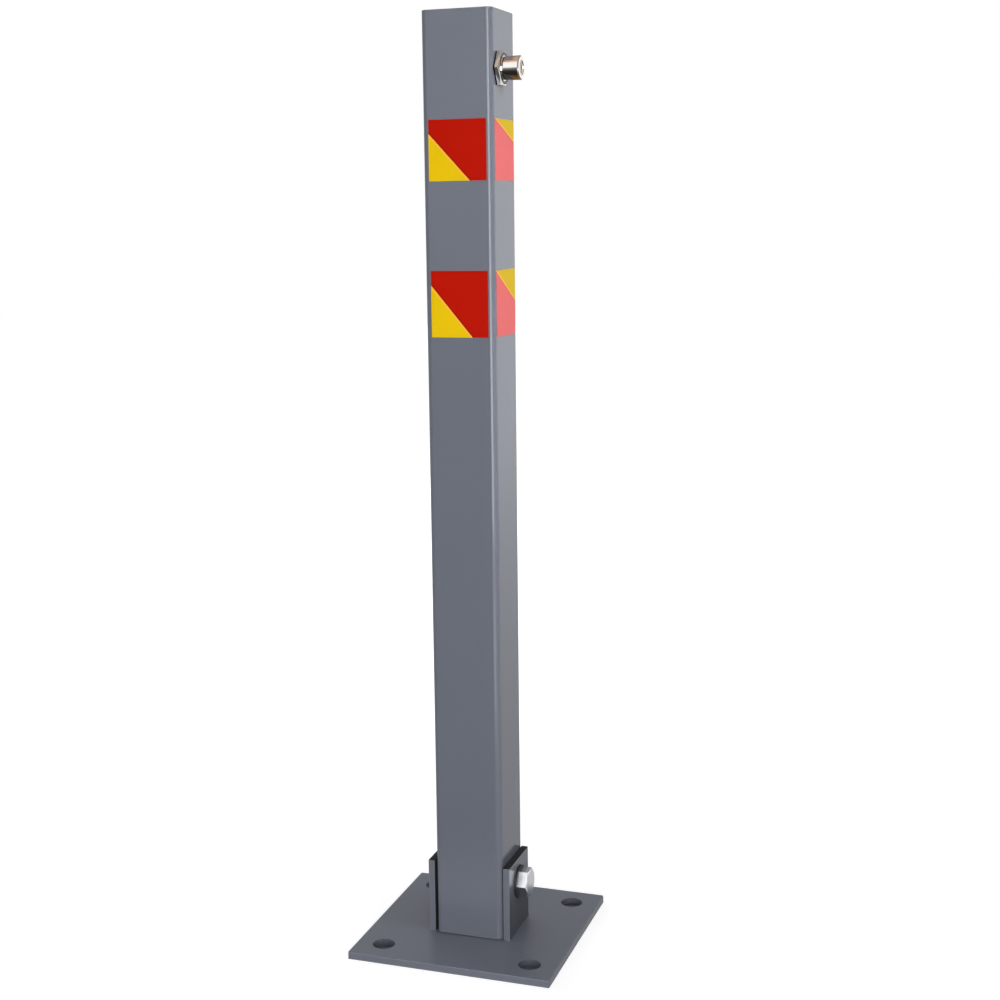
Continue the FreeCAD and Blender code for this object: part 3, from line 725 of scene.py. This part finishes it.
@dataclass(frozen=True)
class MetalFinish:
    """Plated or bare steel."""

    colour: Colour
    roughness: float
    unevenness: float
    marks_per_metre: float = 900.0
    stretch: Place = (1.0, 0.15, 0.15)
    mark_depth: float = 0.004 * MM
    mark_strength: float = 0.5
    collar_axis: Place = (0.0, 0.0, 0.0)
    collar_radius: float = FAR
    deep_face: float = -FAR
    deep_shade: float = 0.8 * MM
    # Colour of the painted shade in a keyway and of the painted dark reflection and shade on a collar
    painted_shade_colour: Colour = (0.02, 0.019, 0.018)
    # Colours of the painted reflection on a round bar's upper side and underside
    upper_reflection_colour: Colour | None = None
    upper_start: float = 0.35
    under_reflection_colour: Colour | None = None
    under_start: float = 0.1

    def material(self, effects: Effects, name: str) -> bpy.types.Material:
        """The metal's material.

        Args:
            effects: the shared groups.
            name: the material's name.

        Returns:
            The metal's material.
        """
        material, graph, shader = new_material(name)
        shader.inputs["Metallic"].default_value = 1.0
        collar = effects.collar.place(graph, Axis=self.collar_axis, Inner_Radius=self.collar_radius)
        keyway = effects.keyway.place(graph, Face=self.deep_face, Depth=self.deep_shade)
        # Painted dark reflection and shade on the collar, and painted shade deep in the keyway
        dark = graph.math("MAXIMUM", collar["Dark"], keyway["Mask"])
        # Painted reflection: warm on the upper side, dark on the underside
        tarnish = effects.tarnish.place(
            graph, Upper_Start=self.upper_start, Under_Start=self.under_start, Spared=collar["Ring"]
        )
        colour = graph.blend(tarnish["Upper"], opaque(self.colour), opaque(self.upper_reflection_colour or self.colour))
        colour = graph.blend(tarnish["Under"], colour, opaque(self.under_reflection_colour or self.colour))
        colour = graph.blend(dark, colour, opaque(self.painted_shade_colour))
        grain = effects.metal.place(
            graph,
            Scale=self.marks_per_metre,
            Stretch=self.stretch,
            Roughness=self.roughness,
            Unevenness=self.unevenness,
        )
        graph.feed(shader.inputs["Base Color"], toned(graph, colour, grain["Tone"]))
        graph.feed(shader.inputs["Roughness"], grain["Roughness"])
        bumped(graph, shader, grain["Height"], self.mark_depth, self.mark_strength)
        return material


ZINC = MetalFinish(colour=(0.90, 0.92, 0.95), roughness=0.18, unevenness=0.12)
STEEL = MetalFinish(colour=(0.42, 0.42, 0.43), roughness=0.34, unevenness=0.15, stretch=(1.0, 1.0, 0.12))
PLUG = MetalFinish(colour=(0.80, 0.70, 0.62), roughness=0.22, unevenness=0.12, stretch=(0.2, 1.0, 1.0))
NICKEL = MetalFinish(
    colour=(0.95, 0.92, 0.88),
    roughness=0.13,
    unevenness=0.08,
    collar_axis=(25.0 * MM, -10.0 * MM, 620.0 * MM),
    collar_radius=8.3 * MM,
    # Painted reflection on the barrel, warm above and dark below
    upper_reflection_colour=(0.92, 0.74, 0.62),
    under_reflection_colour=(0.2, 0.19, 0.155),
)


@dataclass(frozen=True)
class RubberFinish:
    """Dull black coating of the washer."""

    colour: Colour = (0.012, 0.013, 0.015)
    roughness: float = 0.55
    unevenness: float = 0.15
    cloud: float = 0.4
    grain_per_metre: float = 1500.0
    grain_depth: float = 0.02 * MM
    grain_strength: float = 0.6

    def material(self, effects: Effects, name: str) -> bpy.types.Material:
        """The coating's material.

        Args:
            effects: the shared groups.
            name: the material's name.

        Returns:
            The coating's material.
        """
        material, graph, shader = new_material(name)
        grain = effects.powder.place(
            graph,
            Peel_Scale=self.grain_per_metre,
            Cloud=self.cloud,
            Roughness=self.roughness,
            Unevenness=self.unevenness,
        )
        graph.feed(shader.inputs["Base Color"], toned(graph, opaque(self.colour), grain["Tone"]))
        graph.feed(shader.inputs["Roughness"], grain["Roughness"])
        bumped(graph, shader, grain["Height"], self.grain_depth, self.grain_strength)
        return material


@dataclass(frozen=True)
class PrintLine:
    """The border of the yellow corner, in shares of the film's width and height; yellow is on its right."""

    start: Span
    end: Span


# Borders by whether the face is the front or back, and by band
PRINT_LINES: dict[tuple[bool, Band], PrintLine] = {
    (True, Band.UPPER): PrintLine((0.0, 0.774), (0.712, 0.0)),
    (True, Band.LOWER): PrintLine((0.0, 0.783), (0.724, 0.0)),
    (False, Band.UPPER): PrintLine((1.0, 0.641), (0.0, 0.995)),
    (False, Band.LOWER): PrintLine((1.0, 0.502), (0.0, 0.978)),
}


@dataclass(frozen=True)
class FilmFinish:
    """Reflective film printed in red and yellow."""

    red: Colour
    yellow: Colour
    bright_line: Colour
    dark_line: Colour
    roughness: float = 0.42
    specular: float = 0.05
    cells_per_metre: float = 520.0
    seam_share: float = 0.12
    cell_depth: float = 0.01 * MM
    cell_strength: float = 0.4

    def material(
        self, effects: Effects, name: str, face: Face, line: PrintLine, low: Vector, high: Vector
    ) -> bpy.types.Material:
        """The print on one film.

        Args:
            effects: the shared groups.
            name: the material's name.
            face: the post's face that the film lies on.
            line: the border between yellow and red.
            low: the film's lowest corner.
            high: the film's highest corner.

        Returns:
            The film's material.
        """
        material, graph, shader = new_material(name)
        shader.inputs["Specular IOR Level"].default_value = self.specular
        shader.inputs["Roughness"].default_value = self.roughness
        places = graph.parts(graph.add("TexCoord").outputs["Object"])
        across = graph.math("MULTIPLY", places[face.axis], face.sign)
        width = high[face.axis] - low[face.axis]
        start = Vector(((line.start[0] - 0.5) * width, low.z + line.start[1] * (high.z - low.z)))
        end = Vector(((line.end[0] - 0.5) * width, low.z + line.end[1] * (high.z - low.z)))
        along = (end - start).normalized()
        normal = Vector((along.y, -along.x))
        split = effects.diagonal.place(
            graph,
            Across=across,
            Height=places[2],
            Normal_Across=normal.x,
            Normal_Height=normal.y,
            Offset=-normal.dot(start),
        )
        cells = effects.cells.place(graph, Cells_Per_Metre=self.cells_per_metre, Seam_Share=self.seam_share)
        shade = graph.blend(split["Inside"], opaque(self.red), opaque(self.yellow))
        shade = graph.blend(split["Bright Line"], shade, opaque(self.bright_line))
        shade = graph.blend(split["Dark Line"], shade, opaque(self.dark_line))
        graph.feed(shader.inputs["Base Color"], toned(graph, shade, cells["Tone"]))
        bumped(graph, shader, cells["Height"], self.cell_depth, self.cell_strength)
        return material


DEEP_FILM = FilmFinish(
    red=(0.408, 0.006, 0.0005),
    yellow=(0.69, 0.455, 0.003),
    bright_line=(0.90, 0.42, 0.04),
    dark_line=(0.20, 0.004, 0.0005),
)
PALE_FILM = FilmFinish(
    red=(0.635, 0.125, 0.125),
    yellow=(0.54, 0.37, 0.004),
    bright_line=(0.78, 0.38, 0.06),
    dark_line=(0.57, 0.085, 0.085),
)


def dress(node: str, material: bpy.types.Material) -> None:
    """Give a CAD node its material.

    Args:
        node: the CAD node's name.
        material: what it is covered with.
    """
    mesh = frame["nodes"][node].data
    mesh.materials.clear()
    mesh.materials.append(material)
    log.info("%s: %s", node, material.name)


def new_piece(
    name: str, body: str, material: bpy.types.Material, shape: bmesh.types.BMesh
) -> bpy.types.Object:
    """Turn a shape into a piece that rides on a body.

    Args:
        name: the piece's name.
        body: the CAD body that it rides on.
        material: what it is covered with.
        shape: the mesh, which is freed.

    Returns:
        The new piece.
    """
    mesh = bpy.data.meshes.new(name)
    bmesh.ops.recalc_face_normals(shape, faces=shape.faces[:])
    shape.to_mesh(mesh)
    shape.free()
    mesh.materials.append(material)
    mesh.shade_smooth()
    piece = bpy.data.objects.new(name, mesh)
    bpy.context.scene.collection.objects.link(piece)
    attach(piece, body)
    log.info("%s: %d faces, rides on %s", name, len(mesh.polygons), body)
    return piece


@dataclass
class GroundPlate:
    """Base plate and hinge ears, with a short weld across each ear's back edge."""

    effects: Effects
    paint: PaintFinish
    hole_spacing: float = 110.0 * MM
    hole_diameter: float = 16.0 * MM
    hole_margin: float = 0.1 * MM
    # Colour of the painted shade in the bores, and strength and height of the painted shade on the ears
    hole_shade_colour: Colour = (0.085, 0.092, 0.115)
    roughness: float = 0.33
    ear_shade_share: float = 0.95
    shaded_foot_height: float = 52.0 * MM
    weld_leg: float = 2.4 * MM
    weld_ripple: float = 1.3 * MM
    weld_wave: float = 0.06
    weld_bulge: float = 0.10
    weld_end: float = 0.15
    weld_rise: float = 5.0
    weld_sink: float = 0.3 * MM
    weld_steps: int = 40
    weld_arc: int = 10

    def build(self) -> None:
        """Lay the weld across the back of each ear."""
        for side in Side:
            self.weld(side)

    def weld(self, side: Side) -> bpy.types.Object:
        """A rippled fillet between an ear's back edge and the plate.

        Args:
            side: which ear.

        Returns:
            The weld's piece.
        """
        label = side.name.lower()
        low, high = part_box(label + "_ear")
        shape = bmesh.new()
        rings = []
        for step in range(self.weld_steps + 1):
            share = step / self.weld_steps
            x = low.x + (high.x - low.x) * share
            rings.append([shape.verts.new(point) for point in self.section(x, high.y, low.z, share)])
        for ring, following in zip(rings, rings[1:]):
            for index in range(len(ring)):
                after = (index + 1) % len(ring)
                shape.faces.new((ring[index], ring[after], following[after], following[index]))
        shape.faces.new(rings[0])
        shape.faces.new(list(reversed(rings[-1])))
        material = self.paint.material(self.effects, "paint_%s_weld" % label, *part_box("base_plate"))
        return new_piece("%s_ear_weld" % label, "base", material, shape)

    def section(self, x: float, face: float, floor: float, share: float) -> list[Vector]:
        """The weld's outline at one place.

        Args:
            x: where across the ear.
            face: Y of the ear's back edge.
            floor: Z of the plate's top.
            share: the same as x, as a share of the ear's thickness.

        Returns:
            The outline's points, the first of them inside the corner.
        """
        beat = (x / self.weld_ripple) % 1.0
        taper = math.sqrt(min(1.0, self.weld_end + self.weld_rise * min(share, 1.0 - share)))
        leg = self.weld_leg * taper * (1.0 + self.weld_wave * math.sin(2 * math.pi * beat))
        bulge = self.weld_bulge + self.weld_wave * beat
        points = [Vector((x, face - self.weld_sink, floor - self.weld_sink))]
        for step in range(self.weld_arc + 1):
            turn = step / self.weld_arc
            swell = leg * bulge * math.sin(math.pi * turn)
            points.append(Vector((x, face + leg * turn + swell, floor + leg * (1.0 - turn) + swell)))
        points[1].y = face - self.weld_sink
        points[-1].z = floor - self.weld_sink
        return points

    def dress(self) -> None:
        """Paint the plate and the ears, which are duller than the post, with painted shade in the bores and on
        the ears' tops, inner faces and feet.
        """
        bored = replace(
            self.paint,
            roughness=self.roughness,
            bore_offset=self.hole_spacing / 2,
            bore_radius=self.hole_diameter / 2 + self.hole_margin,
            shade_colour=self.hole_shade_colour,
        )
        dress("base_plate", bored.material(self.effects, "paint_base_plate", *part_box("base_plate")))
        shaded_ears = replace(
            self.paint,
            roughness=self.roughness,
            ear_shade_share=self.ear_shade_share,
            foot_shade_height=self.shaded_foot_height,
        )
        for node in ("left_ear", "right_ear"):
            dress(node, shaded_ears.material(self.effects, "paint_" + node, *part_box(node)))


@dataclass
class HingePin:
    """Pivot bolt, its washer and its nut."""

    effects: Effects
    zinc: MetalFinish
    coating: RubberFinish

    def dress(self) -> None:
        """Plate the bolt and the nut with zinc, and blacken the washer."""
        zinc = self.zinc.material(self.effects, "zinc_steel")
        dress("pivot_bolt", zinc)
        dress("pivot_nut", zinc)
        dress("pivot_washer", self.coating.material(self.effects, "dark_washer"))


@dataclass
class Post:
    """Square tube, its cap, and the plates welded inside it."""

    effects: Effects
    paint: PaintFinish
    steel: MetalFinish

    def dress(self) -> None:
        """Paint the outside, and leave the guides bare."""
        low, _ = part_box("post_tube")
        _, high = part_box("top_cap")
        skin = self.paint.material(self.effects, "paint_post", low, high)
        dress("post_tube", skin)
        dress("top_cap", skin)
        bare = self.steel.material(self.effects, "guide_steel")
        dress("upper_rod_guide", bare)
        dress("lower_rod_guide", bare)


@dataclass
class ReflectiveBands:
    """The films of both bands on all four faces."""

    effects: Effects
    deep: FilmFinish
    pale: FilmFinish
    lines: dict[tuple[bool, Band], PrintLine]

    def dress(self) -> None:
        """Print each film with its own border line."""
        for band in Band:
            for face in Face:
                wide = face in (Face.FRONT, Face.BACK)
                node = "%s_film_%s" % (band.value, face.label)
                finish = self.deep if wide else self.pale
                dress(node, finish.material(self.effects, node, face, self.lines[wide, band], *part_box(node)))


@dataclass
class KeyLock:
    """Lock barrel, plug, crank and the rod that they move."""

    effects: Effects
    nickel: MetalFinish
    plug: MetalFinish
    steel: MetalFinish
    face_margin: float = 0.1 * MM

    def dress(self) -> None:
        """Nickel on what shows, bare steel on what is inside the post."""
        dress("lock_body", self.nickel.material(self.effects, "nickel_plate"))
        _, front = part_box("key_plug")
        # Painted shade deep in the plug's keyway
        faced = replace(self.plug, deep_face=front.x - self.face_margin)
        dress("key_plug", faced.material(self.effects, "nickel_plug"))
        bare = self.steel.material(self.effects, "bare_steel")
        for node in ("lock_washer", "lock_nut", "cam_arm", "cam_screw", "cam_pin", "lock_rod", "rod_yoke"):
            dress(node, bare)


@dataclass(frozen=True)
class Lamp:
    """A soft lamp and what it is aimed at."""

    name: str
    place: Place
    aim: Place
    size: Span
    power: float
    spread: float = math.pi
    mirrored: bool = True

    def build(self) -> bpy.types.Object:
        """Hang the lamp.

        Returns:
            The lamp's object.
        """
        light = bpy.data.lights.new(self.name, "AREA")
        light.shape = "RECTANGLE"
        light.size, light.size_y = self.size
        light.energy = self.power
        light.spread = self.spread
        lamp = bpy.data.objects.new(self.name, light)
        lamp.location = self.place
        lamp.rotation_mode = "QUATERNION"
        lamp.rotation_quaternion = (Vector(self.aim) - Vector(self.place)).to_track_quat("-Z", "Y")
        lamp.visible_glossy = self.mirrored
        lamp.visible_camera = False
        bpy.context.scene.collection.objects.link(lamp)
        return lamp


# Name, place, aim, size and power of each lamp
LAMPS: tuple[Lamp, ...] = (
    Lamp("key_softbox", (0.464, -1.427, 0.47), (0.0, 0.0, 0.36), (0.85, 0.95), 15.3),
    Lamp("foot_strip", (0.165, -0.465, 0.085), (0.0, 0.0, 0.16), (0.32, 0.14), 0.25),
    Lamp("left_fill", (-1.5, -0.15, 0.30), (0.0, 0.0, 0.30), (1.0, 1.0), 5.2, mirrored=False),
    Lamp(
        "right_fill",
        (0.9, -0.2, 0.98),
        (0.03, 0.0, 0.50),
        (0.4, 0.4),
        0.71,
        spread=math.radians(40),
        mirrored=False,
    ),
    Lamp("top_fill", (0.10, 0.10, 1.9), (0.05, 0.20, 0.0), (1.4, 1.4), 6.3, mirrored=False),
    Lamp("back_fill", (-1.3, 1.5, 0.5), (0.0, 0.0, 0.33), (1.2, 1.2), 20.0, mirrored=False),
)


@dataclass(frozen=True)
class Viewpoint:
    """The photograph's camera: where it stands, how it is turned, and its lens."""

    place: Place = (0.3750, -1.0893, 0.5292)
    yaw: float = 19.5
    dip: float = 9.75
    roll: float = -0.89
    lens: float = 59.31
    sensor: float = 36.0
    shift: Span = (0.04, -0.01)
    nearest: float = 0.05

    def build(self) -> bpy.types.Object:
        """Set the camera up.

        Returns:
            The camera's object.
        """
        yaw, dip, roll = (math.radians(angle) for angle in (self.yaw, self.dip, self.roll))
        ahead = Vector((-math.sin(yaw) * math.cos(dip), math.cos(yaw) * math.cos(dip), -math.sin(dip)))
        level = Vector((math.cos(yaw), math.sin(yaw), 0.0))
        above = level.cross(ahead)
        right = level * math.cos(roll) + above * math.sin(roll)
        upward = above * math.cos(roll) - level * math.sin(roll)
        lens = bpy.data.cameras.new("photo_camera")
        lens.lens = self.lens
        lens.sensor_width = self.sensor
        lens.shift_x, lens.shift_y = self.shift
        lens.clip_start = self.nearest
        camera = bpy.data.objects.new("photo_camera", lens)
        turn = Matrix((right, upward, -ahead)).transposed().to_4x4()
        camera.matrix_world = Matrix.Translation(self.place) @ turn
        bpy.context.scene.collection.objects.link(camera)
        bpy.context.scene.camera = camera
        return camera


@dataclass
class Studio:
    """White floor and surround, soft lamps and the camera."""

    lamps: tuple[Lamp, ...]
    viewpoint: Viewpoint
    ambient: float = 0.30
    front_glow: float = 0.12
    behind_band: Span = (0.30, 0.62)
    sky_glow: float = 0.32
    sky_band: Span = (0.10, 0.36)
    left_share: float = 0.55
    left_band: Span = (-0.40, -0.22)
    overhead_glow: float = 0.55
    overhead_band: Span = (0.62, 0.82)
    overhead_tint: Colour = (1.0, 0.80, 0.66)
    window: Place = (-0.302, -0.830, 0.469)
    window_band: Span = (0.81, 0.927)
    floor_half: float = 6.0
    floor_squares: int = 8
    floor_drop: float = 0.2 * MM
    floor_colour: Colour = (0.5, 0.5, 0.5)
    under_plate_shade_colour: Colour = (0.085, 0.092, 0.115)
    shadow_glow: float = 0.65
    shadow_reach: Span = (0.2, 0.6)
    ahead_loss: float = -0.86
    ahead_depth: Span = (-0.12, 0.05)
    ahead_reach: Span = (0.13, 0.24)
    ahead_slant: float = -0.09
    ahead_side: Span = (-0.03, 0.06)
    near_glow: float = 0.54
    far_reach: Span = (0.1, 3.0)

    def build(self) -> None:
        """Make the surround, the floor, the lamps and the camera."""
        bpy.context.scene.view_settings.view_transform = "Standard"
        self.surround()
        self.floor()
        for lamp in self.lamps:
            lamp.build()
        self.viewpoint.build()

    def surround(self) -> None:
        """White to the camera and behind the object in reflections, and a low even light elsewhere."""
        world = bpy.data.worlds.new("surround")
        world.use_nodes = True
        bpy.context.scene.world = world
        graph = Graph(world.node_tree)
        graph.tree.nodes.clear()
        rays = graph.add("LightPath").outputs
        direction = graph.add("TexCoord").outputs["Generated"]
        side, depth, height = graph.parts(direction)
        behind = graph.ramp(depth, *self.behind_band, self.front_glow, 1.0)
        above = graph.math("MULTIPLY", graph.ramp(side, *self.left_band, self.left_share, 1.0), self.sky_glow)
        behind = graph.math("MULTIPLY", behind, graph.ramp(height, *self.sky_band, 1.0, above))
        centre = graph.vector("DOT_PRODUCT", direction, Vector(self.window).normalized())
        window = graph.ramp(centre, *self.window_band)
        overhead = graph.ramp(height, *self.overhead_band, 0.0, rays["Is Glossy Ray"])
        glows = graph.math("MAXIMUM", behind, window)
        glows = graph.math("MAXIMUM", glows, graph.math("MULTIPLY", overhead, self.overhead_glow))
        mirrored = graph.math("MULTIPLY", rays["Is Glossy Ray"], glows)
        seen = graph.math("MAXIMUM", rays["Is Camera Ray"], rays["Is Transmission Ray"])
        level = graph.math("MAXIMUM", graph.math("MAXIMUM", seen, mirrored), self.ambient)
        background = graph.add("Background")
        tint = graph.blend(overhead, opaque(WHITE), opaque(self.overhead_tint))
        graph.feed(background.inputs["Color"], tint)
        graph.feed(background.inputs["Strength"], level)
        output = graph.add("OutputWorld")
        graph.feed(output.inputs["Surface"], background.outputs["Background"])

    def floor(self) -> bpy.types.Object:
        """A pale floor that keeps the object's shadow.

        Returns:
            The floor's object.
        """
        shape = bmesh.new()
        squares = self.floor_squares
        bmesh.ops.create_grid(shape, x_segments=squares, y_segments=squares, size=self.floor_half)
        mesh = bpy.data.meshes.new("floor")
        shape.to_mesh(mesh)
        shape.free()
        mesh.materials.append(self.floor_material())
        floor = bpy.data.objects.new("floor", mesh)
        floor.location.z = -self.floor_drop
        bpy.context.scene.collection.objects.link(floor)
        return floor

    def floor_material(self) -> bpy.types.Material:
        """White to the camera, with room for a shadow near the object, and painted shade under the plate.

        Returns:
            The floor's material.
        """
        material = bpy.data.materials.new("floor")
        material.use_nodes = True
        graph = Graph(material.node_tree)
        graph.tree.nodes.clear()
        rays = graph.add("LightPath").outputs
        where = graph.add("TexCoord").outputs["Object"]
        x, y, _ = graph.parts(where)
        _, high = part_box("base_plate")
        outside = graph.math("MAXIMUM", graph.math("ABSOLUTE", x), graph.math("ABSOLUTE", y))
        clear = graph.math("GREATER_THAN", outside, high.x)
        away = graph.vector("LENGTH", where, (0.0, 0.0, 0.0))
        shadowed = graph.add("AddShader")
        diffuse = graph.add("BsdfDiffuse")
        # Painted shade on the floor under the plate
        ground = graph.blend(clear, opaque(self.under_plate_shade_colour), opaque(self.floor_colour))
        graph.feed(diffuse.inputs["Color"], ground)
        looked_at = graph.math("MAXIMUM", rays["Is Camera Ray"], rays["Is Transmission Ray"])
        glow = graph.math("MULTIPLY", graph.ramp(away, *self.shadow_reach, self.shadow_glow, 1.0), looked_at)
        white = graph.add("Emission")
        graph.feed(white.inputs["Strength"], graph.math("MULTIPLY", glow, clear))
        graph.feed(shadowed.inputs[0], diffuse.outputs["BSDF"])
        graph.feed(shadowed.inputs[1], white.outputs["Emission"])
        ahead = graph.ramp(y, *self.ahead_depth, 1.0, 0.0)
        ahead = graph.math("MULTIPLY", ahead, graph.ramp(away, *self.ahead_reach))
        slanted = graph.math("MULTIPLY_ADD", y, self.ahead_slant, x)
        ahead = graph.math("MULTIPLY", ahead, graph.ramp(slanted, *self.ahead_side, 1.0, 0.0))
        far = graph.ramp(away, *self.far_reach, self.near_glow, 1.0)
        mirrored = graph.math("MULTIPLY", graph.math("MULTIPLY_ADD", ahead, self.ahead_loss, 1.0), far)
        image = graph.add("Emission")
        graph.feed(image.inputs["Strength"], graph.math("MULTIPLY", mirrored, clear))
        either = graph.add("MixShader")
        graph.feed(either.inputs["Fac"], rays["Is Glossy Ray"])
        graph.feed(either.inputs[1], shadowed.outputs["Shader"])
        graph.feed(either.inputs[2], image.outputs["Emission"])
        output = graph.add("OutputMaterial")
        graph.feed(output.inputs["Surface"], either.outputs["Shader"])
        return material


def clear_strays() -> None:
    """Remove what Blender's own start-up scene holds."""
    kept = {*frame["nodes"].values(), *frame["bodies"].values()}
    for stray in [item for item in bpy.data.objects if item not in kept]:
        bpy.data.objects.remove(stray)


def main() -> None:
    """Build the studio and each sub-assembly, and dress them."""
    logging.basicConfig(level=logging.INFO, format="%(message)s")
    clear_strays()
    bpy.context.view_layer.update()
    effects = Effects()
    paint = PaintFinish()
    Studio(LAMPS, Viewpoint()).build()
    plate = GroundPlate(effects, paint)
    plate.build()
    assemblies = (
        plate,
        HingePin(effects, zinc=ZINC, coating=RubberFinish()),
        Post(effects, paint, steel=STEEL),
        ReflectiveBands(effects, deep=DEEP_FILM, pale=PALE_FILM, lines=PRINT_LINES),
        KeyLock(effects, nickel=NICKEL, plug=PLUG, steel=STEEL),
    )
    for assembly in assemblies:
        assembly.dress()


if __name__ == "__main__":
    main()
